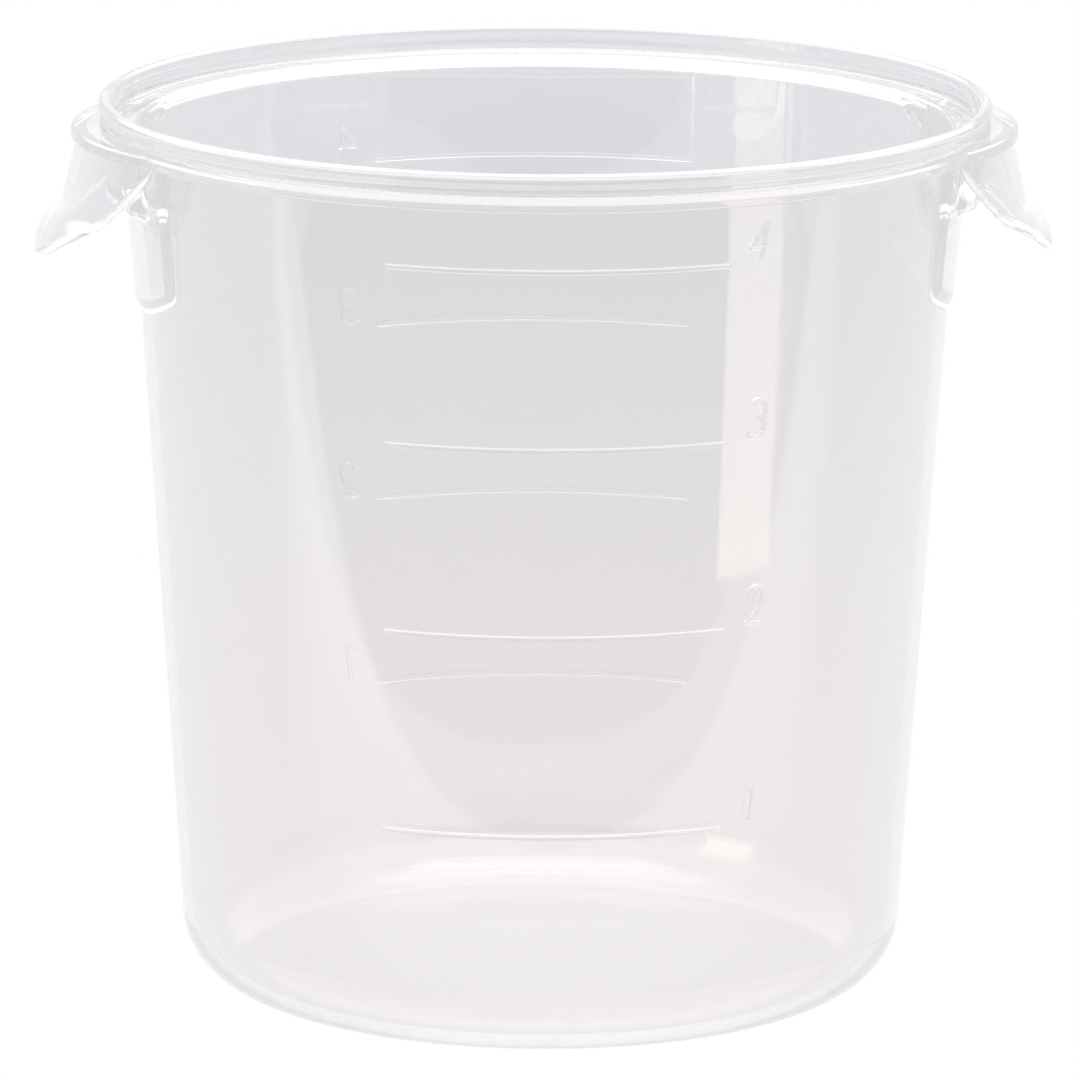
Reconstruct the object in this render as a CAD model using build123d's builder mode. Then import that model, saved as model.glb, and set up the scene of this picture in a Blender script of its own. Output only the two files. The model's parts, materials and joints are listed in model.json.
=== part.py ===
from build123d import *
from math import asin, atan, cos, degrees, pi, radians, sin, sqrt, tan
import os

os.makedirs("parts", exist_ok=True)

# A round, clear container for proofing dough, moulded in one piece of polycarbonate.
# It stands on z = 0 with its axis on Z, its front on -Y and its two lifting ears on X.
# Every part here is one named feature of that moulding, and each meets its neighbours face to face.

# Body
height = 203.0  # ground to the top of the rim
foot_radius = 80.8  # where the wall's outer face, run on down, would meet the ground
mouth_radius = 94.0  # where the same face, run on up, would meet the level of the rim's top
wall = 2.2
floor_thickness = 2.8
heel_radius = 16.0  # outside rounding between floor and wall
seam_margin = 1.5  # flat left beyond the heel's rounding, where floor and wall begin

# Rim: a flat flange round the mouth, with a lip standing on its outer edge
rim_reach = 6.5  # flange and lip beyond the wall's outer face
flange_thickness = 2.6
flange_rounding = 1.2  # inner top edge, where the mouth begins
lip_height = 5.9  # lip above the flange
lip_thickness = 3.1
lip_rounding = 1.1

# Ears: a shelf in line with the flange, and a flared shell hanging from it
ear_plan_radius = 66.0  # radius of the shelf's outer edge, seen from above
shelf_reach = 6.1  # shelf beyond the rim
shelf_step = 1.4  # how far the shell hangs inside the shelf's edge
ear_thickness = 2.2
ear_lean = 13.5  # degrees that the upper part of the shell leans out
ear_knee_depth = 23.0  # top of the rim to where it starts to flare
ear_knee_radius = 6.2  # inner face
ear_reach = 14.3  # lip of the ear beyond the rim
ear_lip_depth = 28.7  # top of the rim to where the flare would meet the upright lip
ear_lip_radius = 12.0  # outer face
ear_depth = 35.2  # top of the rim to the lowest point of the ear
ear_edge_radius = 47.0  # lower edge, seen from the side

# Pads: raised panels of the wall under the ears, with a thicker block behind the ear's root
pad_half_angle = 22.4
pad_depth = 46.0  # top of the rim to the lowest point of the pad
pad_foot_radius = 90.0  # lower edge, seen from the side
pad_foot_proud = 1.2
pad_head_proud = 1.9
block_half_angle = 17.0
block_depth = 21.6  # top of the rim to the block's underside
block_reach = 4.2  # block beyond the pad
block_hollow_radius = 3.0  # rounding between the pad and the block's underside
block_rounding = 0.8
block_overlap = 9.0  # length of the block's root inside the pad

# Levels: a scale in litres on the front and one in quarts on the back. Each line has the same volume
# between it and the next, so the place of the highest line sets all the others.
litre_scale_depth = 22.6  # top of the rim to the line for four litres
quart_scale_depth = 29.5  # top of the rim to the line for four liquid quarts
level_count = 4
line_height = 0.9
line_proud = 0.35
line_left = 39.4  # end of the line from the middle of its side, straight across
line_right = 34.4
numeral_height = 8.2
numeral_stroke = 1.0
numeral_proud = 0.4
numeral_gap = 6.8  # end of the line to the middle of the numeral, straight across
numeral_lift = 1.0  # foot of the numeral above its line

overrun = 5.0  # how far a cutting shape passes its work

# Strokes of the numerals, as shares of their height: two points make a line, three an arc
stroke_shares = {
    1: [((-0.08, 0.78), (0.12, 1.0)), ((0.12, 1.0), (0.02, 0.0))],
    2: [((-0.18, 0.76), (0.08, 1.0), (0.29, 0.74)), ((0.29, 0.74), (0.20, 0.50), (-0.28, 0.0)),
        ((-0.28, 0.0), (0.24, 0.0))],
    3: [((-0.14, 0.90), (0.27, 0.84), (0.03, 0.55)), ((0.03, 0.55), (0.24, 0.22), (-0.28, 0.12))],
    4: [((0.22, 1.0), (-0.28, 0.32)), ((-0.28, 0.32), (0.30, 0.32)), ((0.22, 1.0), (0.08, 0.0))],
}


# The wall's two faces lean out together
lean = (mouth_radius - foot_radius) / height
draft = degrees(atan(lean))
wall_across = wall * sqrt(1 + lean**2)


def outer_radius(z):
    """Radius of the wall's outer face at height z."""
    return foot_radius + lean * z


def inner_radius(z):
    """Radius of the wall's inner face at height z."""
    return outer_radius(z) - wall_across


# Heights and radii that follow from the sizes above
rim_radius = mouth_radius + rim_reach
flange_top = height - lip_height
flange_bottom = flange_top - flange_thickness
hollow_radius = heel_radius - wall
half_turn = (90 - draft) / 2
outer_tangent = heel_radius * tan(radians(half_turn))
inner_tangent = hollow_radius * tan(radians(half_turn))
floor_radius = min(foot_radius - outer_tangent, inner_radius(floor_thickness) - inner_tangent) - seam_margin
heel_top = max(outer_tangent, floor_thickness + inner_tangent) * cos(radians(draft)) + seam_margin
shelf_radius = rim_radius + shelf_reach
ear_axis = shelf_radius - ear_plan_radius


# Room inside: a cone cut off by the floor, less the ring of plastic that rounds its corner
start = inner_radius(floor_thickness)
corner = hollow_radius**2 * (tan(radians(half_turn)) - radians(half_turn))
corner_ring = corner * 2 * pi * (start - hollow_radius + inner_tangent)


def volume_below(z):
    """Volume of the liquid that stands in the container up to height z."""
    return pi * (inner_radius(z) ** 3 - start**3) / (3 * lean) - corner_ring


def level_height(volume):
    """Height of the surface of this much liquid standing in the container."""
    cube = 3 * lean * (volume + corner_ring) / pi + start**3
    return floor_thickness + (cube ** (1 / 3) - start) / lean


def turn_to(across, level):
    """Degrees from the middle of a side to the place on the wall that lies this far across, at this level."""
    return degrees(asin(across / outer_radius(level)))


def side_plane(side, angle):
    """Upright plane through the axis, so many degrees to the right of the middle of a side."""
    return Plane.XZ.rotated((0, 0, side + angle))


def facing_plane(side, angle, z):
    """Plane that faces outwards at that angle, with its origin on the axis at height z."""
    across = radians(side + angle)
    return Plane(origin=(0, 0, z), x_dir=(-sin(across), cos(across), 0), z_dir=(cos(across), sin(across), 0))


# Floor and heel
with BuildPart() as floor:
    Cylinder(floor_radius, floor_thickness, align=(Align.CENTER, Align.CENTER, Align.MIN))

with BuildPart() as heel:
    with BuildSketch(Plane.XZ) as heel_section:
        with BuildLine():
            Polyline(
                (floor_radius, 0),
                (foot_radius, 0),
                (outer_radius(heel_top), heel_top),
                (inner_radius(heel_top), heel_top),
                (inner_radius(floor_thickness), floor_thickness),
                (floor_radius, floor_thickness),
                close=True,
            )
        make_face()
        fillet(heel_section.vertices().sort_by_distance((foot_radius, 0))[0], heel_radius)
        inner_corner = (inner_radius(floor_thickness), floor_thickness)
        fillet(heel_section.vertices().sort_by_distance(inner_corner)[0], hollow_radius)
    revolve(axis=Axis.Z)

# Wall
with BuildPart() as tub_wall:
    with BuildSketch(Plane.XZ):
        with BuildLine():
            Polyline(
                (inner_radius(heel_top), heel_top),
                (outer_radius(heel_top), heel_top),
                (outer_radius(flange_bottom), flange_bottom),
                (inner_radius(flange_bottom), flange_bottom),
                close=True,
            )
        make_face()
    revolve(axis=Axis.Z)

# Rim
with BuildPart() as flange:
    with BuildSketch(Plane.XZ) as flange_section:
        with BuildLine():
            Polyline(
                (inner_radius(flange_bottom), flange_bottom),
                (rim_radius, flange_bottom),
                (rim_radius, flange_top),
                (inner_radius(flange_top), flange_top),
                close=True,
            )
        make_face()
        mouth_edge = (inner_radius(flange_top), flange_top)
        fillet(flange_section.vertices().sort_by_distance(mouth_edge)[0], flange_rounding)
    revolve(axis=Axis.Z)

with BuildPart() as lip:
    with BuildSketch(Plane.XY.offset(flange_top)):
        Circle(rim_radius)
        Circle(rim_radius - lip_thickness, mode=Mode.SUBTRACT)
    extrude(amount=lip_height)
    fillet(lip.edges().group_by(Axis.Z)[-1], lip_rounding)

# Right ear: the flared shell is turned about an axis of its own, then trimmed to its outline
with BuildPart() as right_ear:
    with BuildSketch(Plane.XZ):
        knee_z, lip_z = height - ear_knee_depth, height - ear_lip_depth
        root_x = shelf_radius - shelf_step
        knee_x = root_x + (flange_bottom - knee_z) * tan(radians(ear_lean))
        lip_x = rim_radius + ear_reach
        with BuildLine() as shell_face:
            Polyline(
                (root_x - overrun * tan(radians(ear_lean)), flange_bottom + overrun),
                (knee_x, knee_z),
                (lip_x, lip_z),
                (lip_x, height - ear_depth - overrun),
            )
            corners = shell_face.vertices()
            fillet(corners.sort_by_distance((knee_x, knee_z))[0], ear_knee_radius - ear_thickness)
            fillet(corners.sort_by_distance((lip_x, lip_z))[0], ear_lip_radius)
            offset(amount=ear_thickness, side=Side.RIGHT)
        make_face()
    revolve(axis=Axis((ear_axis, 0, 0), (0, 0, 1)))
    with BuildSketch(Plane.YZ.offset(ear_axis)):
        with Locations((0, height - ear_depth + ear_edge_radius)):
            Circle(ear_edge_radius)
        with Locations((0, flange_bottom)):
            Rectangle(2 * ear_edge_radius, ear_depth, align=(Align.CENTER, Align.MAX), mode=Mode.INTERSECT)
    extrude(amount=shelf_radius + overrun, mode=Mode.INTERSECT)
    with BuildSketch(Plane.XY.offset(flange_bottom)):
        with Locations((ear_axis, 0)):
            Circle(ear_plan_radius)
        Circle(rim_radius, mode=Mode.SUBTRACT)
    extrude(amount=flange_thickness)

# Left ear
with BuildPart() as left_ear:
    mirror(right_ear.part, about=Plane.YZ)


# Pads under the ears
def ear_pad(middle):
    """Pad round the given direction, in degrees from +X, with the block behind the ear's root."""
    pad_bottom = height - pad_depth
    rise = (pad_head_proud - pad_foot_proud) / (flange_bottom - pad_bottom)

    def pad_radius(z):
        return outer_radius(z) + pad_foot_proud + rise * (z - pad_bottom)

    block_bottom = height - block_depth
    block_root = block_bottom - block_overlap
    block_radius = pad_radius(block_bottom) + block_reach
    with BuildPart() as pad:
        with BuildSketch(side_plane(middle, -pad_half_angle)):
            with BuildLine():
                Polyline(
                    (outer_radius(pad_bottom), pad_bottom),
                    (pad_radius(pad_bottom), pad_bottom),
                    (pad_radius(flange_bottom), flange_bottom),
                    (outer_radius(flange_bottom), flange_bottom),
                    close=True,
                )
            make_face()
        revolve(axis=Axis.Z, revolution_arc=2 * pad_half_angle)
        with BuildSketch(Plane.YZ):
            with Locations((0, pad_bottom + pad_foot_radius)):
                Circle(pad_foot_radius)
        extrude(amount=shelf_radius, both=True, mode=Mode.INTERSECT)
        with BuildSketch(side_plane(middle, -block_half_angle)) as block_section:
            with BuildLine():
                Polyline(
                    (outer_radius(block_root), block_root),
                    (pad_radius(block_root), block_root),
                    (pad_radius(block_bottom), block_bottom),
                    (block_radius, block_bottom),
                    (block_radius, flange_bottom),
                    (outer_radius(flange_bottom), flange_bottom),
                    close=True,
                )
            make_face()
            hollow = (pad_radius(block_bottom), block_bottom)
            fillet(block_section.vertices().sort_by_distance(hollow)[0], block_hollow_radius)
            edge = (block_radius, block_bottom)
            fillet(block_section.vertices().sort_by_distance(edge)[0], block_rounding)
        revolve(axis=Axis.Z, revolution_arc=2 * block_half_angle)
    return pad.part


# Level lines and numerals
def level_line(side, level):
    """Thin raised line along the wall at this level, on the side in that direction."""
    low, high = level - line_height / 2, level + line_height / 2
    left_end, right_end = turn_to(-line_left, level), turn_to(line_right, level)
    with BuildPart() as line:
        with BuildSketch(side_plane(side, left_end)):
            with BuildLine():
                Polyline(
                    (outer_radius(low), low),
                    (outer_radius(low) + line_proud, low),
                    (outer_radius(high) + line_proud, high),
                    (outer_radius(high), high),
                    close=True,
                )
            make_face()
        revolve(axis=Axis.Z, revolution_arc=right_end - left_end)
    return line.part


def numeral(side, level, digit):
    """Raised digit at the right-hand end of a level line: its strokes cut out of a thin layer on the wall."""
    foot = level + numeral_lift
    low, high = foot - overrun, foot + numeral_height + overrun
    with BuildPart() as figure:
        with BuildSketch(Plane.XZ):
            with BuildLine():
                Polyline(
                    (outer_radius(low), low),
                    (outer_radius(low) + numeral_proud, low),
                    (outer_radius(high) + numeral_proud, high),
                    (outer_radius(high), high),
                    close=True,
                )
            make_face()
        revolve(axis=Axis.Z)
        with BuildSketch(facing_plane(side, turn_to(line_right + numeral_gap, level), foot)):
            for shares in stroke_shares[digit]:
                points = [(x * numeral_height, y * numeral_height) for x, y in shares]
                with BuildLine() as stroke:
                    if len(points) == 2:
                        Line(*points)
                    else:
                        ThreePointArc(*points)
                trace(stroke.line, line_width=numeral_stroke)
        extrude(amount=outer_radius(high) + overrun, mode=Mode.INTERSECT)
    return figure.part


pieces = {
    "floor": floor.part,
    "heel": heel.part,
    "wall": tub_wall.part,
    "rim_flange": flange.part,
    "rim_lip": lip.part,
    "right_ear": right_ear.part,
    "left_ear": left_ear.part,
    "right_ear_pad": ear_pad(0),
    "left_ear_pad": ear_pad(180),
}
front, back = -90, 90
for face, side, depth in (("front", front, litre_scale_depth), ("back", back, quart_scale_depth)):
    full = volume_below(height - depth)
    for count in range(1, level_count + 1):
        level = level_height(full * count / level_count)
        pieces[f"{face}_level_line_{count}"] = level_line(side, level)
        pieces[f"{face}_numeral_{count}"] = numeral(side, level, count)
        print(face, count, "level at", round(level, 1), "volume", round(volume_below(level)))

for name, piece in pieces.items():
    piece.label = name
    export_step(piece, f"parts/{name}.step")
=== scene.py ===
# %% [markdown]
# # A clear container for proofing dough
# The real container is one injection moulding in clear plastic: a round tub, a flat rim with a raised lip, a lifting
# ear on each side and two scales of raised lines and numerals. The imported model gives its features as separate
# solids, and this lesson makes them into one smooth, seamless body that light can pass through.

# %% Load the model as a fixed frame
import json
from math import asin, atan, atan2, cos, degrees, hypot, pi, radians, sin, sqrt, tan

import bmesh
import bpy
from mathutils import Matrix, Vector

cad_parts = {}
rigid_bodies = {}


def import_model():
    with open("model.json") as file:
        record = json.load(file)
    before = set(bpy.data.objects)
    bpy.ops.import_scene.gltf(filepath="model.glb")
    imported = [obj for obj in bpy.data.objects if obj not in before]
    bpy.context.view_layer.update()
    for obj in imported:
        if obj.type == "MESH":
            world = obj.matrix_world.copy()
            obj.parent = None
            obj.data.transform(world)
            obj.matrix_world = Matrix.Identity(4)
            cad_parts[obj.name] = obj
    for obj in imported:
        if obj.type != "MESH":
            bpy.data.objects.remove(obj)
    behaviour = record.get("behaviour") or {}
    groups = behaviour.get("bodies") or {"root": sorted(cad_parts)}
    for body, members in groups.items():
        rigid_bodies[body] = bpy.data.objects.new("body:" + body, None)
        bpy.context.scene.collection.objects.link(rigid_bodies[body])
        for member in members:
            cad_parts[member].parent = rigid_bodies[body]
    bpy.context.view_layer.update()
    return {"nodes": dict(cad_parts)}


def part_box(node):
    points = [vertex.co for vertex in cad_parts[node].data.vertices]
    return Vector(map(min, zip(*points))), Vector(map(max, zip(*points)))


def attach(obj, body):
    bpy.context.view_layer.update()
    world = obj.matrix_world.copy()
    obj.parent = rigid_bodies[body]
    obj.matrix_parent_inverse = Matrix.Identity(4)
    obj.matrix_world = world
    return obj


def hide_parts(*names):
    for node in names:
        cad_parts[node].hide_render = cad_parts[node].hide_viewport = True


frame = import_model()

MM = 0.001

# %% [markdown]
# ## Sizes
# The model's own boxes give the heights and radii of the turned shape, so the picture follows if the model changes.
# A box can't tell how thick a wall is or how an edge is rounded, so those few sizes are written here in millimetres.
# The rim's outer face has two rounded ridges with a shallow groove between them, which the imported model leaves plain.

# %% Read the turned shape's sizes off the model
heel_high, wall_high, lip_high = (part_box(node)[1] for node in ("heel", "wall", "rim_lip"))
flange_low, flange_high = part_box("rim_flange")

floor_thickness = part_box("floor")[1].z
heel_top = heel_high.z
flange_bottom, flange_top = flange_low.z, flange_high.z
rim_top, rim_radius = lip_high.z, lip_high.x
lean = (wall_high.x - heel_high.x) / (wall_high.z - heel_top)
draft = atan(lean)
foot_radius = heel_high.x - lean * heel_top


def outer_radius(z):
    """Radius of the wall's outer face at height z."""
    return foot_radius + lean * z


print("rim", round(2 * rim_radius / MM, 1), "mm across, wall leaning", round(degrees(draft), 2), "degrees")

# %% Thicknesses and roundings
wall = 2.2 * MM
wall_across = wall / cos(draft)
heel_radius = 16 * MM
lip_thickness = 3.1 * MM
lip_rounding = 1.1 * MM
mouth_rounding = 1.2 * MM
ledge_rounding = 0.7 * MM
rim_fillet = 1.0 * MM
under_rounding = 0.8 * MM
ridge_rounding, ridge_end = 1.5 * MM, 35
print("wall", round(wall / MM, 1), "mm thick, heel rounded to", round(heel_radius / MM), "mm")

# %% [markdown]
# ## Two small helpers
# Node trees are easier to read when adding a node takes one line. `add` makes a node in a tree, sets what it is told
# and links its inputs. Colours are written as the usual hex values, which are sRGB, while Blender calculates in
# linear light, so `linear` turns one into the other.

# %% Helpers for node trees and colours
def add(tree, kind, inputs=None, **settings):
    """A node of this kind in the tree, with its settings, values and links."""
    node = tree.nodes.new(kind)
    for name, value in settings.items():
        setattr(node, name, value)
    for socket, value in (inputs or {}).items():
        if isinstance(value, bpy.types.NodeSocket):
            tree.links.new(value, node.inputs[socket])
        else:
            node.inputs[socket].default_value = value
    return node


def linear(hex_colour):
    """The linear RGBA value of a colour such as "#F4F4F2"."""
    shares = [int(hex_colour[i:i + 2], 16) / 255 for i in (1, 3, 5)]
    return [s / 12.92 if s <= 0.04045 else ((s + 0.055) / 1.055) ** 2.4 for s in shares] + [1.0]


# %% [markdown]
# ## The material: injection-moulded polycarbonate
# The tub is clear polycarbonate, a dense plastic that bends light more than window glass does (its index of
# refraction is about 1.585, so more of the surroundings show in it). It is a trace grey rather than perfectly clear.
# It takes the polish of its mould, but cooling plastic pulls in unevenly, which leaves very shallow waves some
# centimetres long and a faint orange peel, so reflections have soft, slightly ragged edges.
#
# Light that enters the edge of a clear plate runs along inside it, thrown back from face to face. Real plastic lets
# it leak out bit by bit, and its edges look pale. Perfect faces would keep it in, and the edges would turn black. So
# a ray that has been reflected three times passes the surface unbent, through a Transparent shader.

# %% Clear moulded polycarbonate
wave_length, wave_depth = 45 * MM, 0.10 * MM
peel_length, peel_depth = 6 * MM, 0.004 * MM
peel_low, peel_high = 0.3, 0.7
polished, rubbed = 0.01, 0.04
reflections_held = 2.5


def clear_polycarbonate():
    """Dense, polished clear plastic: crisp reflections, and edges that stay pale."""
    material = bpy.data.materials.new("clear moulded polycarbonate")
    material.use_nodes = True
    tree = material.node_tree
    tree.nodes.clear()
    place = add(tree, "ShaderNodeTexCoord").outputs["Object"]
    waves = add(tree, "ShaderNodeTexNoise", {"Vector": place, "Scale": 1 / wave_length, "Detail": 1.0})
    peel = add(tree, "ShaderNodeTexNoise", {"Vector": place, "Scale": 1 / peel_length, "Detail": 2.0})
    slow = add(tree, "ShaderNodeBump", {"Height": waves.outputs["Fac"], "Strength": 1.0, "Distance": wave_depth})
    fine = add(tree, "ShaderNodeBump", {
        "Height": peel.outputs["Fac"], "Strength": 1.0, "Distance": peel_depth, "Normal": slow.outputs["Normal"],
    })
    rub = add(tree, "ShaderNodeMapRange", {
        "Value": peel.outputs["Fac"],
        "From Min": peel_low, "From Max": peel_high, "To Min": polished, "To Max": rubbed,
    })
    solid = add(tree, "ShaderNodeBsdfPrincipled", {
        "Base Color": linear("#F8F7F7"), "Transmission Weight": 0.99, "IOR": 1.585,
        "Roughness": rub.outputs["Result"], "Normal": fine.outputs["Normal"],
    })
    reflections = add(tree, "ShaderNodeLightPath").outputs["Glossy Depth"]
    trapped = add(tree, "ShaderNodeMath", {0: reflections, 1: reflections_held}, operation="GREATER_THAN")
    set_free = add(tree, "ShaderNodeBsdfTransparent").outputs["BSDF"]
    shown = add(tree, "ShaderNodeMixShader", {0: trapped.outputs[0], 1: solid.outputs["BSDF"], 2: set_free})
    add(tree, "ShaderNodeOutputMaterial", {"Surface": shown.outputs["Shader"]})
    return material


plastic = clear_polycarbonate()
print(plastic.name, "has", len(plastic.node_tree.nodes), "nodes")

# %% [markdown]
# ## The turned body
# Floor, heel, wall, flange and lip are all round, so one section turned about the axis makes them all, as a potter's
# template would. A Screw modifier or a spin in edit mode could turn it too. Geometry Nodes do it here, because the
# section and the number of columns then stay inputs that can be changed later. First comes the section itself: a
# chain of points from the middle of the underside, round the outside, over the rim and down to the middle of the
# floor. Each rounding is an arc, and the arcs' centres follow from the sizes.

# %% Find the centres of the roundings
def arc(centre_r, centre_z, radius, start, end, steps):
    """Points of the section along an arc, between two angles in degrees."""
    angles = [radians(start + (end - start) * step / steps) for step in range(steps + 1)]
    return [(centre_r + radius * cos(angle), centre_z + radius * sin(angle)) for angle in angles]


lean_angle = degrees(draft)
hollow_radius = heel_radius - wall
hollow_top = floor_thickness + hollow_radius * (1 - sin(draft))
heel_centre = foot_radius + lean * heel_radius * (1 - sin(draft)) - heel_radius * cos(draft)
hollow_centre = foot_radius - wall_across + lean * hollow_top - hollow_radius * cos(draft)
rim_fillet_z = flange_bottom - rim_fillet
rim_fillet_centre = outer_radius(rim_fillet_z + rim_fillet * sin(draft)) + rim_fillet * cos(draft)
mouth_radius = outer_radius(flange_top) - wall_across
lip_inner = rim_radius - lip_thickness
half_rim = (rim_top - flange_bottom) / 2
ridge_turn = radians(ridge_end)
groove = (half_rim - ridge_rounding * (1 + sin(ridge_turn))) / sin(ridge_turn)
groove_centre = rim_radius - ridge_rounding + (ridge_rounding + groove) * cos(ridge_turn)
print("the groove between the rim's ridges has a radius of", round(groove / MM, 2), "mm")

# %% [markdown]
# The plain wall is straight and would need points only at its ends. But pads are pressed out of it later, so it gets
# a row of points every few millimetres, and closer ones where a pad or the block behind an ear begins.

# %% Choose the heights of the wall's rows
pad_low, pad_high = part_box("right_ear_pad")
pad_bottom = pad_low.z
pad_foot_radius = 90 * MM
pad_step = 3.6 * MM
pad_corner = pad_bottom + pad_foot_radius - sqrt(pad_foot_radius**2 - pad_high.y**2)
block_bottom = 181.4 * MM
block_hollow = 3.0 * MM
block_reach = 4.2 * MM
block_rounding = 1.0 * MM
row_spacing, least_spacing = 7 * MM, 0.05 * MM


def evenly(start, end, count):
    """Heights from start to end, in this many equal steps."""
    return [start + (end - start) * step / count for step in range(count + 1)]


wall_start = heel_radius * (1 - sin(draft))
wall_end = rim_fillet_z + rim_fillet * sin(draft)
rows = evenly(wall_start, wall_end, round((wall_end - wall_start) / row_spacing))
rows += evenly(pad_bottom - pad_step / 2, pad_corner + pad_step / 2, 16)
rows += evenly(block_bottom - block_hollow, block_bottom, 6)
rows += [block_bottom + share * block_rounding for share in (0.1, 0.3, 0.6, 1.0)]
wall_rows = []
for z in sorted(rows):
    if not wall_rows or z - wall_rows[-1] > least_spacing:
        wall_rows.append(z)
print(len(wall_rows), "rows up the wall")

# %% Draw the section
outside = [(0, 0)] + arc(heel_centre, heel_radius, heel_radius, -90, -lean_angle, steps=14)[:-1]
outside += [(outer_radius(z), z) for z in wall_rows[:-1]]
outside += arc(rim_fillet_centre, rim_fillet_z, rim_fillet, 180 - lean_angle, 90, steps=4)
outside += arc(rim_radius - under_rounding, flange_bottom + under_rounding, under_rounding, -90, 0, steps=6)
outside += arc(rim_radius - ridge_rounding, flange_bottom + ridge_rounding, ridge_rounding, 0, ridge_end, steps=5)
outside += arc(groove_centre, flange_bottom + half_rim, groove, 180 + ridge_end, 180 - ridge_end, steps=8)[1:-1]

over = arc(rim_radius - ridge_rounding, rim_top - ridge_rounding, ridge_rounding, -ridge_end, 90, steps=10)
over += arc(lip_inner + lip_rounding, rim_top - lip_rounding, lip_rounding, 90, 180, steps=6)
over += arc(lip_inner - ledge_rounding, flange_top + ledge_rounding, ledge_rounding, 0, -90, steps=4)
over += arc(mouth_radius + mouth_rounding, flange_top - mouth_rounding, mouth_rounding, 90, 180, steps=6)

inside = [(outer_radius(z) - wall_across, z) for z in evenly(flange_top - mouth_rounding, hollow_top, 12)[1:-1]]
inside += arc(hollow_centre, floor_thickness + hollow_radius, hollow_radius, -lean_angle, -90, steps=12)
inside += [(0, floor_thickness)]
section = outside + over + inside
print(len(section), "points in the section")

# %% [markdown]
# The tree sweeps the section along a ring of radius 1. To keep the radii exact, each point of the section remembers
# its radius and height, each point of the ring remembers where it stands, and the swept surface is then set to the
# product of the two. The points on the axis all fall together and are merged.

# %% Turn the section round the axis
same_point = 0.001 * MM


def turning_tree():
    tree = bpy.data.node_groups.new("turn a section round the axis", "GeometryNodeTree")
    tree.interface.new_socket("Section", in_out="INPUT", socket_type="NodeSocketGeometry")
    tree.interface.new_socket("Ring", in_out="INPUT", socket_type="NodeSocketObject")
    tree.interface.new_socket("Material", in_out="INPUT", socket_type="NodeSocketMaterial")
    tree.interface.new_socket("Body", in_out="OUTPUT", socket_type="NodeSocketGeometry")
    given = add(tree, "NodeGroupInput")
    here = add(tree, "GeometryNodeInputPosition").outputs["Position"]
    ring = add(tree, "GeometryNodeObjectInfo", {"Object": given.outputs["Ring"]}).outputs["Geometry"]
    curves = {}
    for name, geometry in (("section place", given.outputs["Section"]), ("way round", ring)):
        marked = add(
            tree, "GeometryNodeStoreNamedAttribute", {"Geometry": geometry, "Name": name},
            data_type="FLOAT_VECTOR", domain="POINT",
        )
        tree.links.new(here, marked.inputs["Value"])
        curves[name] = add(tree, "GeometryNodeMeshToCurve", {"Mesh": marked.outputs["Geometry"]}).outputs["Curve"]
    swept = add(tree, "GeometryNodeCurveToMesh", {
        "Curve": curves["way round"], "Profile Curve": curves["section place"],
    })
    place, around = (
        add(tree, "GeometryNodeInputNamedAttribute", {"Name": name}, data_type="FLOAT_VECTOR").outputs["Attribute"]
        for name in ("section place", "way round")
    )
    parts = add(tree, "ShaderNodeSeparateXYZ", {"Vector": place})
    outward = add(tree, "ShaderNodeVectorMath", {0: around, "Scale": parts.outputs["X"]}, operation="SCALE")
    rise = add(tree, "ShaderNodeCombineXYZ", {"Z": parts.outputs["Z"]})
    point = add(
        tree, "ShaderNodeVectorMath", {0: outward.outputs["Vector"], 1: rise.outputs["Vector"]}, operation="ADD"
    )
    placed = add(tree, "GeometryNodeSetPosition", {
        "Geometry": swept.outputs["Mesh"], "Position": point.outputs["Vector"],
    })
    merged = add(tree, "GeometryNodeMergeByDistance", {
        "Geometry": placed.outputs["Geometry"], "Distance": same_point,
    })
    real = add(tree, "GeometryNodeRealizeInstances", {"Geometry": merged.outputs["Geometry"]})
    finished = add(tree, "GeometryNodeSetMaterial", {
        "Geometry": real.outputs["Geometry"], "Material": given.outputs["Material"],
    })
    add(tree, "NodeGroupOutput", {"Body": finished.outputs["Geometry"]})
    return tree


# %% [markdown]
# Four helpers make an object from points, run a node tree on one, join several, and unite one with another. A
# modifier's inputs are set by their identifiers, and the evaluated result is kept as the object's plain mesh.

# %% Helpers for objects
def mesh_object(name, points, edges=(), faces=()):
    """A new object of these points, joined by the edges or faces."""
    mesh = bpy.data.meshes.new(name)
    mesh.from_pydata(points, edges, faces)
    thing = bpy.data.objects.new(name, mesh)
    bpy.context.scene.collection.objects.link(thing)
    return thing


def run_tree(thing, tree, values):
    """Runs a node tree on an object with these inputs, and leaves the result as its plain mesh."""
    modifier = thing.modifiers.new(tree.name, "NODES")
    modifier.node_group = tree
    for socket in tree.interface.items_tree:
        if socket.in_out == "INPUT" and socket.name in values:
            modifier[socket.identifier] = values[socket.name]
    evaluated = thing.evaluated_get(bpy.context.evaluated_depsgraph_get())
    mesh = bpy.data.meshes.new_from_object(evaluated)
    thing.modifiers.clear()
    thing.data = mesh
    return thing


def join(things, name):
    """One object from several."""
    bpy.ops.object.select_all(action="DESELECT")
    for thing in things:
        thing.select_set(True)
    bpy.context.view_layer.objects.active = things[0]
    bpy.ops.object.join()
    things[0].name = name
    return things[0]


def unite(thing, addition):
    """Unites the addition with the thing into one skin, and deletes the addition."""
    modifier = thing.modifiers.new("union", "BOOLEAN")
    modifier.operation, modifier.solver = "UNION", "EXACT"
    modifier.object = addition
    evaluated = thing.evaluated_get(bpy.context.evaluated_depsgraph_get())
    mesh = bpy.data.meshes.new_from_object(evaluated)
    thing.modifiers.clear()
    thing.data = mesh
    bpy.data.objects.remove(addition)
    return thing


# %% [markdown]
# The columns of the turned body stand a degree apart, and closer on the sloping sides of the pads and blocks.

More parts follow.
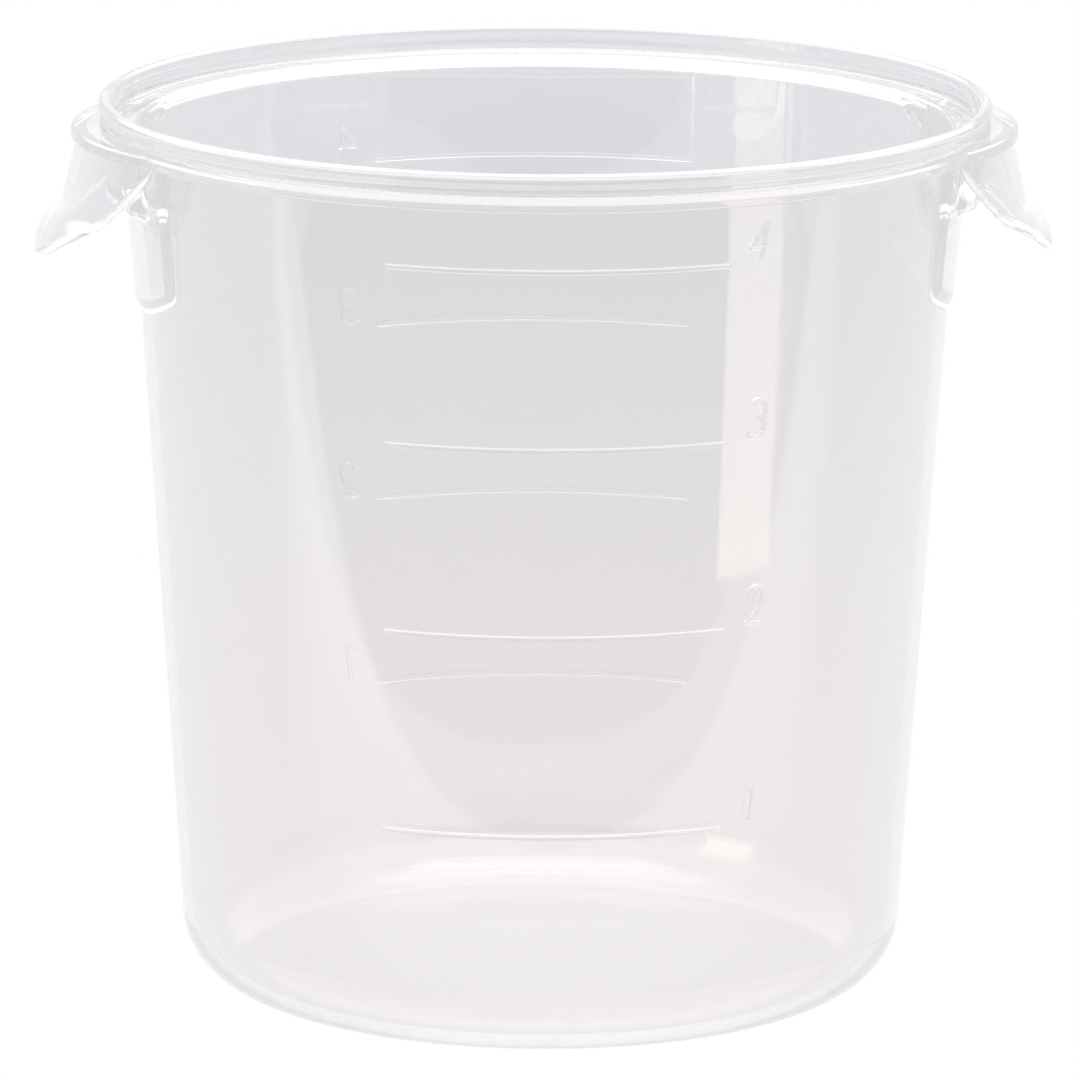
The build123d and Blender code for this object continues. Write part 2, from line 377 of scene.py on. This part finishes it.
# %% Turn the section
pad_half_angle, pad_side = 22.4, 1.0
block_half_angle, block_side = 17.0, 0.6
least_turn = 0.1
turns = set(range(360))
for middle in (0, 180):
    for half_angle, side in ((pad_half_angle, pad_side), (block_half_angle, block_side)):
        for hand in (-1, 1):
            turns.update((middle + hand * half_angle + side * step / 4) % 360 for step in range(-4, 5))
turns = sorted(turns)
turns = [turn for turn, after in zip(turns, turns[1:] + [360]) if after - turn > least_turn]
chain = [(i, i + 1) for i in range(len(section) - 1)]
body = mesh_object("moulded_tub", [(r, 0, z) for r, z in section], chain)
ring = mesh_object(
    "ring", [(cos(radians(turn)), sin(radians(turn)), 0) for turn in turns],
    [(i, (i + 1) % len(turns)) for i in range(len(turns))],
)
run_tree(body, turning_tree(), {"Ring": ring, "Material": plastic})
bpy.data.objects.remove(ring)
print("turned body:", len(body.data.vertices), "points,", len(body.data.polygons), "faces")

# %% [markdown]
# ## Pads under the ears
# Under each ear the wall is a little thicker: a flat-looking pad with soft edges, and a thicker block behind the root
# of the ear, which is hollowed into the pad by a rounding. Both are pressed out of the turned wall by moving its
# outer points along the radius, which keeps the surface in one piece.

# %% How far a pad stands out
pad_foot_proud = 1.2 * MM
pad_head_proud = 1.9 * MM


def ramp(value, start, end):
    """From 0 at start to 1 at end, easing in and out."""
    share = min(max((value - start) / (end - start), 0), 1)
    return share * share * (3 - 2 * share)


def pad_height(angle, across, z):
    """How far the pad and its block stand out of the wall, this far from the middle of the pad."""
    climb = (z - pad_bottom) / (flange_bottom - pad_bottom)
    proud = pad_foot_proud + (pad_head_proud - pad_foot_proud) * climb
    foot = pad_bottom + pad_foot_radius - sqrt(pad_foot_radius**2 - across**2)
    in_pad = ramp(angle, pad_half_angle + pad_side, pad_half_angle - pad_side)
    height = proud * in_pad * ramp(z, foot - pad_step / 2, foot + pad_step / 2)
    below = block_bottom - z
    if below > 0:
        step = block_hollow - sqrt(max(block_hollow**2 - max(block_hollow - below, 0) ** 2, 0))
    else:
        step = block_hollow + (block_reach - block_hollow) * min(sqrt(-below / block_rounding), 1)
    return height + step * ramp(angle, block_half_angle + block_side, block_half_angle - block_side)


# %% Press the pads out of the wall
def press_out(mesh):
    """Moves the points of the wall's outer face out, where a pad stands, and counts them."""
    skin, past_the_edge = 0.3 * MM, 1.1
    moved = 0
    for vertex in mesh.vertices:
        x, y, z = vertex.co
        radius = hypot(x, y)
        near_pad = abs(y) < pad_high.y * past_the_edge and wall_start < z <= flange_bottom + skin
        on_outer_face = outer_radius(z) - skin < radius < rim_radius - under_rounding
        if near_pad and on_outer_face:
            angle = degrees(asin(abs(y) / radius))
            reach = max(radius, outer_radius(z) + pad_height(angle, abs(y), min(z, flange_bottom)))
            vertex.co = (x * reach / radius, y * reach / radius, z)
            moved += reach > radius
    return moved


print(press_out(body.data), "points pressed out")

# %% [markdown]
# ## Ears
# Each ear is a thin shelf in line with the flange and a shell that hangs from it, flares out and ends in an upright
# lip, so that fingers hook under it. Seen from above it is an arc of a smaller circle than the rim's, and seen from
# the side its lower edge is an arc too. The shell's section is a path made of straight runs and bends. It is walked
# in short steps, and each column of the shell follows it down as far as the lower edge lets it, round a half circle
# and back up the inner face.

# %% Sizes of an ear
ear_low, ear_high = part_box("right_ear")
ear_plan_radius = 66 * MM
shelf_radius = rim_radius + 6.1 * MM
ear_axis = shelf_radius - ear_plan_radius
shelf_rounding = 0.8 * MM
ear_thickness = 2.2 * MM
ear_lean = radians(13.5)
knee_radius, lip_bend_radius = 4 * MM, 12 * MM
knee_z = rim_top - 23.0 * MM
lip_z = rim_top - 28.7 * MM
ear_root = ear_plan_radius - 1.4 * MM
knee_away = ear_root + (flange_bottom - knee_z) * tan(ear_lean)
lip_away = ear_high.x - ear_axis
lip_run = 10 * MM
ear_edge_radius = 47 * MM
sunk = 1.9 * MM
walk_step = 0.25 * MM
over_the_end = 1 * MM
just_inside = 0.3 * MM
print("an ear reaches", round((ear_high.x - rim_radius) / MM, 1), "mm past the rim")

# %% Walk down an ear's outer face
def ear_path():
    """Points down the outer face: distance walked, distance from the ear's own axis, height and lean."""
    flare = atan2(lip_away - knee_away, knee_z - lip_z)
    knee_turn = knee_radius * tan((flare - ear_lean) / 2)
    lip_turn = lip_bend_radius * tan(flare / 2)
    runs = [
        ((flange_bottom + sunk - knee_z) / cos(ear_lean) - knee_turn, ear_lean, ear_lean),
        (knee_radius * (flare - ear_lean), ear_lean, flare),
        (hypot(lip_away - knee_away, knee_z - lip_z) - knee_turn - lip_turn, flare, flare),
        (lip_bend_radius * flare, flare, 0),
        (lip_run, 0, 0),
    ]
    walked, away, z = 0, ear_root - sunk * tan(ear_lean), flange_bottom + sunk
    path = [(walked, away, z, ear_lean)]
    for length, start, end in runs:
        steps = round(length / walk_step)
        for step in range(steps):
            tilt = start + (end - start) * (step + 0.5) / steps
            walked += length / steps
            away += sin(tilt) * length / steps
            z -= cos(tilt) * length / steps
            path.append((walked, away, z, start + (end - start) * (step + 1) / steps))
    return path


path = ear_path()


def along(walked):
    """Distance from the ear's axis, height and lean after walking this far down the path."""
    last = next((i for i, point in enumerate(path) if point[0] >= walked), len(path) - 1)
    before, after = path[max(last - 1, 0)], path[last]
    share = (walked - before[0]) / (after[0] - before[0]) if after[0] > before[0] else 0
    return [a + (b - a) * share for a, b in zip(before[1:], after[1:])]


def ear_edge_height(y):
    """Height of the ear's lower edge at this distance from its middle."""
    return ear_low.z + ear_edge_radius - sqrt(ear_edge_radius**2 - min(abs(y), ear_edge_radius) ** 2)


print("an ear's outer face is walked in", len(path), "points")


# %% [markdown]
# An ear's shell and its shelf are each a stack of closed loops of points, one loop for each column. A helper joins
# each loop to the next, fills the first and the last, and turns all faces outwards.

# %% Helper for stacks of loops
def ring_mesh(name, loops):
    """A closed mesh from loops of points, each joined to the next, with the first and last filled."""
    size = len(loops[0])
    points = [point for loop in loops for point in loop]
    faces = []
    for i in range(len(loops) - 1):
        for j in range(size):
            k = (j + 1) % size
            faces.append((i * size + j, i * size + k, (i + 1) * size + k, (i + 1) * size + j))
    faces.append(tuple(range(size)))
    faces.append(tuple(range(len(points) - 1, len(points) - 1 - size, -1)))
    thing = mesh_object(name, points, faces=faces)
    work = bmesh.new()
    work.from_mesh(thing.data)
    bmesh.ops.remove_doubles(work, verts=work.verts, dist=same_point)
    bmesh.ops.recalc_face_normals(work, faces=work.faces)
    work.to_mesh(thing.data)
    work.free()
    return thing


# %% An ear's shell
def ear_shell(side):
    """The hanging shell of the ear on that side, 1 for +X and -1 for -X."""
    half_turn = asin((ear_high.y + over_the_end) / ear_root)
    column_count, row_count, lip_steps = 96, 26, 8
    lip = ear_thickness / 2
    loops = []
    for column in range(column_count + 1):
        turn = half_turn * (2 * column / column_count - 1)
        end = 0
        for walked, away, z, tilt in path:
            middle_away, middle_z = away - lip * cos(tilt), z - lip * sin(tilt)
            edge_z = min(ear_edge_height(middle_away * sin(turn)), flange_bottom + just_inside)
            if middle_z - lip <= edge_z:
                break
            end = walked
        rows = [along(end * row / row_count) for row in range(row_count + 1)]
        outer = [(away, z) for away, z, _ in rows]
        inner = [(away - ear_thickness * cos(tilt), z - ear_thickness * sin(tilt)) for away, z, tilt in rows]
        away, z, tilt = rows[-1]
        turned = [tilt - pi * step / lip_steps for step in range(1, lip_steps)]
        middle_away, middle_z = away - lip * cos(tilt), z - lip * sin(tilt)
        around = [(middle_away + lip * cos(angle), middle_z + lip * sin(angle)) for angle in turned]
        loops.append([
            (side * (ear_axis + away * cos(turn)), side * away * sin(turn), z)
            for away, z in outer + around + inner[::-1]
        ])
    return loops


# %% An ear's shelf
def ear_shelf(side):
    """The shelf of the ear on that side: a plate whose inner edge is buried in the flange."""
    buried = 1.0 * MM
    clear = 0.02 * MM
    half_turn = asin((ear_high.y + over_the_end) / rim_radius)
    column_count, rounding_steps = 60, 4
    bottom, top = flange_bottom + clear, flange_top
    under = shelf_rounding / 2
    loops = []
    for column in range(column_count + 1):
        angle = half_turn * (2 * column / column_count - 1)
        reach = ear_axis * cos(angle) + sqrt(ear_plan_radius**2 - (ear_axis * sin(angle)) ** 2)
        reach = max(reach, rim_radius - just_inside)
        loop = [(rim_radius - buried, bottom)]
        loop += arc(reach - under, bottom + under, under, -90, 0, rounding_steps)
        loop += arc(reach - shelf_rounding, top - shelf_rounding, shelf_rounding, 0, 90, rounding_steps)
        loop += [(rim_radius - buried, top)]
        loops.append([(side * r * cos(angle), side * r * sin(angle), z) for r, z in loop])
    return loops


# %% Make the ears
ear_parts = []
for side, hand in ((1, "right"), (-1, "left")):
    ear_parts.append(ring_mesh(hand + " ear shell", ear_shell(side)))
    ear_parts.append(ring_mesh(hand + " ear shelf", ear_shelf(side)))
print("ears:", [len(part.data.polygons) for part in ear_parts], "faces")

# %% [markdown]
# ## Level lines
# Each scale has four raised lines that follow the wall, with a numeral at the end of each. The mould has them cut
# with a round-nosed tool, so all of them are beads, and one tree makes them: it takes lines and sweeps a round bead
# along each. A bead's middle lies just inside the wall, so only its crest stands out.

# %% A tree that lays beads along lines
def bead_tree():
    tree = bpy.data.node_groups.new("beads along lines", "GeometryNodeTree")
    for name, kind in (
        ("Lines", "NodeSocketGeometry"), ("Bead radius", "NodeSocketFloat"), ("Material", "NodeSocketMaterial"),
    ):
        tree.interface.new_socket(name, in_out="INPUT", socket_type=kind)
    tree.interface.new_socket("Beads", in_out="OUTPUT", socket_type="NodeSocketGeometry")
    given = add(tree, "NodeGroupInput")
    lines = add(tree, "GeometryNodeMeshToCurve", {"Mesh": given.outputs["Lines"]})
    nose = add(tree, "GeometryNodeCurvePrimitiveCircle", {
        "Resolution": 24, "Radius": given.outputs["Bead radius"],
    })
    beads = add(tree, "GeometryNodeCurveToMesh", {
        "Curve": lines.outputs["Curve"], "Profile Curve": nose.outputs["Curve"], "Fill Caps": True,
    })
    real = add(tree, "GeometryNodeRealizeInstances", {"Geometry": beads.outputs["Mesh"]})
    finished = add(tree, "GeometryNodeSetMaterial", {
        "Geometry": real.outputs["Geometry"], "Material": given.outputs["Material"],
    })
    add(tree, "NodeGroupOutput", {"Beads": finished.outputs["Geometry"]})
    return tree


laid_beads = bead_tree()

# %% Lay the level lines
line_proud = 0.26 * MM
line_nose = 0.9 * MM
line_steps = 48
scales = {"front": -1, "back": 1}
counts = (1, 2, 3, 4)
levels = {}
marks = []
for face, side in scales.items():
    boxes = [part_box(f"{face}_level_line_{count}") for count in counts]
    levels[face] = [(low.z + high.z) / 2 for low, high in boxes]
    points, edges = [], []
    for (low, high), z in zip(boxes, levels[face]):
        radius = outer_radius(z) + line_proud - line_nose
        for x in evenly(low.x, high.x, line_steps):
            points.append((x, side * sqrt(radius**2 - x**2), z))
        edges += [(len(points) - 2 - i, len(points) - 1 - i) for i in range(line_steps)]
    lines = mesh_object(face + " scale", points, edges)
    marks.append(run_tree(lines, laid_beads, {"Bead radius": line_nose, "Material": plastic}))
    print(face, "lines at", [round(z / MM, 1) for z in levels[face]], "mm")

# %% [markdown]
# ## Numerals
# A plain numeral stands at the end of each line. Each is a few round strokes, drawn flat as shares of the numeral's
# height: a line through two points or an arc through three. The strokes are laid on the wall at the right angle and
# height, and get the same kind of bead. They cross, so they are united rather than joined.

# %% Draw the numerals' strokes
numeral_height = 8.2 * MM
numeral_nose = 0.7 * MM
numeral_proud = 0.38 * MM
numeral_across = 41.2 * MM
numeral_lift = 1.0 * MM
stroke_shares = {
    1: [((-0.08, 0.78), (0.12, 1.0)), ((0.12, 1.0), (0.02, 0.0))],
    2: [((-0.18, 0.76), (0.08, 1.0), (0.29, 0.74)), ((0.29, 0.74), (0.20, 0.50), (-0.28, 0.0)),
        ((-0.28, 0.0), (0.24, 0.0))],
    3: [((-0.14, 0.90), (0.27, 0.84), (0.03, 0.55)), ((0.03, 0.55), (0.24, 0.22), (-0.28, 0.12))],
    4: [((0.22, 1.0), (-0.28, 0.32)), ((-0.28, 0.32), (0.30, 0.32)), ((0.22, 1.0), (0.08, 0.0))],
}


def stroke_points(ends):
    """Points along one stroke: a line through two points, or a circle's arc through three."""
    steps = 14
    if len(ends) == 2:
        start, end = Vector(ends[0]), Vector(ends[1])
        return [start.lerp(end, step / steps) for step in range(steps + 1)]
    a, b, c = (Vector(end) for end in ends)
    cross = 2 * ((b - a).x * (c - a).y - (b - a).y * (c - a).x)
    ab, ac = (b - a).length_squared, (c - a).length_squared
    centre = a + Vector(((c - a).y * ab - (b - a).y * ac, (b - a).x * ac - (c - a).x * ab)) / cross
    first, last = (a - centre), (c - centre)
    turn = first.angle_signed(last)
    through = first.angle_signed(b - centre)
    if turn * through < 0 or abs(through) > abs(turn):
        turn -= 2 * pi * (1 if turn > 0 else -1)
    return [centre + Matrix.Rotation(-turn * step / steps, 2) @ first for step in range(steps + 1)]


print("strokes:", {digit: len(strokes) for digit, strokes in stroke_shares.items()})

# %% Lay the numerals on the wall
for face, side in scales.items():
    for digit, level in zip(counts, levels[face]):
        middle = asin(numeral_across / outer_radius(level)) + side * pi / 2
        figure = None
        for ends in stroke_shares[digit]:
            points = []
            for x, y in stroke_points(ends):
                z = level + numeral_lift + y * numeral_height
                radius = outer_radius(z) + numeral_proud - numeral_nose
                angle = middle + x * numeral_height / radius
                points.append((radius * cos(angle), radius * sin(angle), z))
            line = [(i, i + 1) for i in range(len(points) - 1)]
            stroke = mesh_object(f"{face} numeral {digit}", points, line)
            run_tree(stroke, laid_beads, {"Bead radius": numeral_nose, "Material": plastic})
            figure = unite(figure, stroke) if figure else stroke
        marks.append(figure)
print(len(marks), "scales and numerals")

# %% [markdown]
# ## One seamless moulding
# Where two clear pieces merely touch or overlap, light would bend at a boundary that the real moulding doesn't have.
# A Boolean union with the exact solver removes what lies inside and leaves one skin.

# %% Join everything into the moulding
work = bmesh.new()
work.from_mesh(body.data)
bmesh.ops.recalc_face_normals(work, faces=work.faces)
work.to_mesh(body.data)
work.free()
unite(body, join([unite(shell, shelf) for shell, shelf in (ear_parts[:2], ear_parts[2:])], "ears"))
unite(body, join(marks, "marks"))
print("one skin of", len(body.data.polygons), "faces")

# %% [markdown]
# The body's facets are flat, and smooth shading hides that by blending the normals of neighbouring faces. Beside a
# cut that blend goes slightly wrong, and clear plastic shows it. The plain wall is a cone, so its true normal is
# known everywhere, and is written into the mesh there.

# %% Shade the moulding smoothly
sharp_edge = radians(32)
on_the_wall = 0.02 * MM
in_line = 0.9995


def true_normals(mesh):
    """Smooth shading, with edges over an angle kept sharp and the cone's own normals on the plain wall."""
    mesh.shade_smooth()
    mesh.set_sharp_from_angle(angle=sharp_edge)
    normals = [(0.0, 0.0, 0.0)] * len(mesh.loops)
    found = 0
    for face in mesh.polygons:
        x, y, z = face.center
        if not hollow_top < z < flange_bottom:
            continue
        across = hypot(x, y)
        away = min(abs(across - outer_radius(z)), abs(across - outer_radius(z) + wall_across))
        facing = face.normal.dot(Vector((x / across * cos(draft), y / across * cos(draft), -sin(draft))))
        if abs(facing) < in_line or away > on_the_wall:
            continue
        sign = 1 if facing > 0 else -1
        for loop in face.loop_indices:
            point = mesh.vertices[mesh.loops[loop].vertex_index].co
            level_part = sign * cos(draft) / hypot(point.x, point.y)
            normals[loop] = (level_part * point.x, level_part * point.y, -sign * sin(draft))
        found += 1
    mesh.normals_split_custom_set(normals)
    return found


print(true_normals(body.data), "wall faces carry the cone's own normals")
body.data.materials.clear()
body.data.materials.append(plastic)
for attribute in ("section place", "way round"):
    if attribute in body.data.attributes:
        body.data.attributes.remove(body.data.attributes[attribute])
print("moulding:", len(body.data.vertices), "points,", len(body.data.polygons), "faces")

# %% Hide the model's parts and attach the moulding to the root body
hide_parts(*sorted(frame["nodes"]))
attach(body, "root")

# %% [markdown]
# ## What stands round the container
# A clear object shows little of its own: what is seen is the white behind it, dimmed a little by each wall, and the
# reflections of what stands round it. So the surroundings matter more than any lamp, and each kind of ray is shown
# its own colour:
#
# - the camera sees plain white;
# - through the plastic the table gets a little greyer with distance;
# - a ray that is reflected once sees a white table that ends at its front edge, and a darker room beyond, whose
#   border is the large rounded shape on the front of the container;
# - a ray that is reflected more often, as in the plastic's edges, sees an even grey.

# %% Colours for each kind of ray
white, near_white, far_white = linear("#FFFFFF"), linear("#F7F3F3"), linear("#E6E8EC")
beyond_table, dark_room, edge_grey = linear("#E0E1E3"), linear("#707174"), linear("#DEDEE1")


def kinds_of_ray(tree):
    """Three shares, 1 or 0: reflected just once, reflected more often, and straight from the camera."""
    ray = add(tree, "ShaderNodeLightPath").outputs
    once = add(tree, "ShaderNodeMath", {0: ray["Glossy Depth"], 1: 1.0, 2: 0.5}, operation="COMPARE")
    often = add(tree, "ShaderNodeMath", {0: ray["Glossy Depth"], 1: 1.5}, operation="GREATER_THAN")
    return once.outputs[0], often.outputs[0], ray["Is Camera Ray"]


def shown_colour(tree, kinds, seen_through, in_mirror):
    """One colour seen through the plastic, and one for each other kind of ray."""
    colour = seen_through
    for kind, other in zip(kinds, (in_mirror, edge_grey, white)):
        colour = add(tree, "ShaderNodeMix", {0: kind, 6: colour, 7: other}, data_type="RGBA").outputs[2]
    return colour


# %% [markdown]
# ## White table
# The table glows evenly instead of being lit, so it carries no shadow, as in the photograph, and its colours come out
# as written. The part in front of the container is a little brighter in reflections. Each change along the table is
# a soft step, which a Map Range node makes. The table lies a tenth of a millimetre under the container's foot, so
# that the two faces don't fight.

# %% The table's colours
table_front, table_edge = -205 * MM, 12 * MM
near_end, far_start = 150 * MM, 1100 * MM
bright_from, bright_until = -50 * MM, -150 * MM
more_in_mirror = 0.35

table_material = bpy.data.materials.new("white table")
table_material.use_nodes = True
tree = table_material.node_tree
tree.nodes.clear()
place = add(tree, "ShaderNodeTexCoord").outputs["Object"]
distance = add(tree, "ShaderNodeVectorMath", {0: place}, operation="LENGTH").outputs["Value"]
depth = add(tree, "ShaderNodeSeparateXYZ", {"Vector": place}).outputs["Y"]
far, on_table, in_front = (
    add(tree, "ShaderNodeMapRange", {
        "Value": value, "From Min": start, "From Max": end, "To Min": low, "To Max": high,
    }, interpolation_type="SMOOTHSTEP").outputs["Result"]
    for value, start, end, low, high in (
        (distance, near_end, far_start, 0.0, 1.0),
        (depth, table_front - table_edge, table_front, 0.0, 1.0),
        (depth, bright_until, bright_from, 1.0, 0.0),
    )
)
kinds = kinds_of_ray(tree)
seen_through = add(tree, "ShaderNodeMix", {0: far, 6: near_white, 7: far_white}, data_type="RGBA").outputs[2]
in_mirror = add(tree, "ShaderNodeMix", {0: on_table, 6: beyond_table, 7: white}, data_type="RGBA").outputs[2]
bright = add(tree, "ShaderNodeMath", {0: on_table, 1: in_front}, operation="MULTIPLY").outputs[0]
bright = add(tree, "ShaderNodeMath", {0: kinds[0], 1: bright}, operation="MULTIPLY").outputs[0]
level = add(tree, "ShaderNodeMath", {0: bright, 1: more_in_mirror, 2: 1.0}, operation="MULTIPLY_ADD").outputs[0]
glow = add(tree, "ShaderNodeEmission", {
    "Color": shown_colour(tree, kinds, seen_through, in_mirror), "Strength": level,
})
add(tree, "ShaderNodeOutputMaterial", {"Surface": glow.outputs["Emission"]})
print(table_material.name, "has", len(tree.nodes), "nodes")

# %% Lay the table
table_half, table_top = 3.0, -0.1 * MM
corners = [(x * table_half, y * table_half, table_top) for x, y in ((-1, -1), (1, -1), (1, 1), (-1, 1))]
table = mesh_object("table", corners, faces=[(0, 1, 2, 3)])
table.data.materials.append(table_material)
print("the table ends", round(-table_front / MM), "mm in front of the container's middle")

# %% [markdown]
# ## Room
# The room is the world's background, coloured by direction: Y is -1 straight out in front of the table, and Z is 0 at
# the horizon and 1 overhead. Low in front it is dark in reflections, and the ceiling is bright. The ceiling's
# reflection makes the white bands on the rim's ridges and the pale arc round the floor. A reflection off the outside
# of the plastic gets more of it than one that is seen through a wall.

# %% Room
dark_from, light_from = -0.76, -0.70
ceiling_start, ceiling_end = 0.26, 0.40
sky_start, sky_end, sky_level = 0.15, 0.45, 1.5
ceiling_level, more_outside = 1.5, 1.8

world = bpy.data.worlds.new("white room")
bpy.context.scene.world = world
world.use_nodes = True
tree = world.node_tree
tree.nodes.clear()
towards = add(tree, "ShaderNodeTexCoord").outputs["Generated"]
towards = add(tree, "ShaderNodeSeparateXYZ", {"Vector": towards}).outputs
walls_crossed = add(tree, "ShaderNodeLightPath").outputs["Transmission Depth"]
outside_only = add(tree, "ShaderNodeMath", {0: walls_crossed, 1: 0.5}, operation="LESS_THAN").outputs[0]
top_level = add(
    tree, "ShaderNodeMath", {0: outside_only, 1: more_outside, 2: ceiling_level}, operation="MULTIPLY_ADD"
).outputs[0]
beside, overhead, above, mirrored = (
    add(tree, "ShaderNodeMapRange", {
        "Value": value, "From Min": start, "From Max": end, "To Min": low, "To Max": high,
    }, interpolation_type="SMOOTHSTEP").outputs["Result"]
    for value, start, end, low, high in (
        (towards["Y"], dark_from, light_from, 0.0, 1.0),
        (towards["Z"], ceiling_start, ceiling_end, 0.0, 1.0),
        (towards["Z"], sky_start, sky_end, 1.0, sky_level),
        (towards["Z"], ceiling_start, ceiling_end, 1.0, top_level),
    )
)
lit = add(tree, "ShaderNodeMath", {0: beside, 1: overhead}, operation="MAXIMUM").outputs[0]
in_mirror = add(tree, "ShaderNodeMix", {0: lit, 6: dark_room, 7: white}, data_type="RGBA").outputs[2]
kinds = kinds_of_ray(tree)
level = add(tree, "ShaderNodeMix", {0: kinds[0], 2: above, 3: mirrored}).outputs[0]
level = add(tree, "ShaderNodeMix", {0: kinds[2], 2: level, 3: 1.0}).outputs[0]
background = add(tree, "ShaderNodeBackground", {
    "Color": shown_colour(tree, kinds, far_white, in_mirror), "Strength": level,
})
add(tree, "ShaderNodeOutputWorld", {"Surface": background.outputs["Background"]})
print(world.name, "has", len(tree.nodes), "nodes")

# %% [markdown]
# ## Light panel and softbox
# A low bright panel at the left is seen in the back wall as an upright stripe, and nowhere else: it shows only to a
# ray that has been reflected once and has passed more than two faces of the plastic, and is clear to all others. The
# softbox above gives plain light to anything that isn't clear.

# %% Light panel
panel_middle, panel_run = Vector((-597 * MM, -163 * MM, 0)), Vector((0.342, -0.94, 0))
panel_half_width, panel_height = 108 * MM, 400 * MM
panel_level, faces_passed = 3.0, 2.5

panel_material = bpy.data.materials.new("bright panel")
panel_material.use_nodes = True
tree = panel_material.node_tree
tree.nodes.clear()
crossed = add(tree, "ShaderNodeLightPath").outputs["Transmission Depth"]
past_a_wall = add(tree, "ShaderNodeMath", {0: crossed, 1: faces_passed}, operation="GREATER_THAN").outputs[0]
in_mirror = add(tree, "ShaderNodeMath", {0: past_a_wall, 1: kinds_of_ray(tree)[0]}, operation="MULTIPLY").outputs[0]
clear = add(tree, "ShaderNodeBsdfTransparent").outputs["BSDF"]
glow = add(tree, "ShaderNodeEmission", {"Color": linear("#FFF4EA"), "Strength": panel_level}).outputs["Emission"]
shown = add(tree, "ShaderNodeMixShader", {0: in_mirror, 1: clear, 2: glow})
add(tree, "ShaderNodeOutputMaterial", {"Surface": shown.outputs["Shader"]})
panel = mesh_object("light_panel", [
    panel_middle + panel_run * panel_half_width * hand + Vector((0, 0, height))
    for hand, height in ((-1, 0), (1, 0), (1, panel_height), (-1, panel_height))
], faces=[(0, 1, 2, 3)])
panel.data.materials.append(panel_material)
print("the panel stands", round(panel_middle.length / MM), "mm away")

# %% Softbox
softbox_level = 1.2
softbox = bpy.data.lights.new("softbox", "AREA")
softbox.size = 1.4
softbox.energy = softbox_level * pi * softbox.size**2
softbox_object = bpy.data.objects.new("softbox", softbox)
bpy.context.scene.collection.objects.link(softbox_object)
softbox_object.location = (0, 0.2, 1.5)
print("softbox", round(softbox.energy, 1), "W")

# %% [markdown]
# ## Camera
# The photograph was taken from about two metres away with a long lens, a little above the rim, so the sides look
# almost parallel and the mouth is a narrow ellipse.

# %% Camera
camera_distance = 2061 * MM
camera_height = 558.5 * MM
camera_azimuth = radians(-3.7)
camera_pitch = radians(12.52)
camera_roll = radians(0.35)
focal_pixels = 9299
frame_pixels = 1080
axis_pixel = 542.8
sensor_width = 36
camera = bpy.data.cameras.new("camera")
camera.sensor_width = sensor_width
camera.lens = sensor_width * focal_pixels / frame_pixels
yaw = atan((axis_pixel - frame_pixels / 2) / focal_pixels)
camera_object = bpy.data.objects.new("camera", camera)
bpy.context.scene.collection.objects.link(camera_object)
camera_object.matrix_world = (
    Matrix.Translation((
        camera_distance * sin(camera_azimuth), -camera_distance * cos(camera_azimuth), camera_height
    ))
    @ Matrix.Rotation(camera_azimuth + yaw, 4, "Z")
    @ Matrix.Rotation(pi / 2 - camera_pitch, 4, "X")
    @ Matrix.Rotation(camera_roll, 4, "Z")
)
bpy.context.scene.camera = camera_object
print("lens", round(camera.lens), "mm")
bpy.context.scene.view_settings.view_transform = "Standard"

# %% [markdown]
# ## How often light may turn
# Light passes many faces in the thick rim and the ears before it gets out. Blender gives up on a ray after 12 of them
# and leaves a black speck, so the limit is raised.

# %% Raise the limit on bounces
most_bounces = 120
light_paths = bpy.context.scene.cycles
light_paths.max_bounces = light_paths.glossy_bounces = light_paths.transmission_bounces = most_bounces
print("a ray may turn", most_bounces, "times")
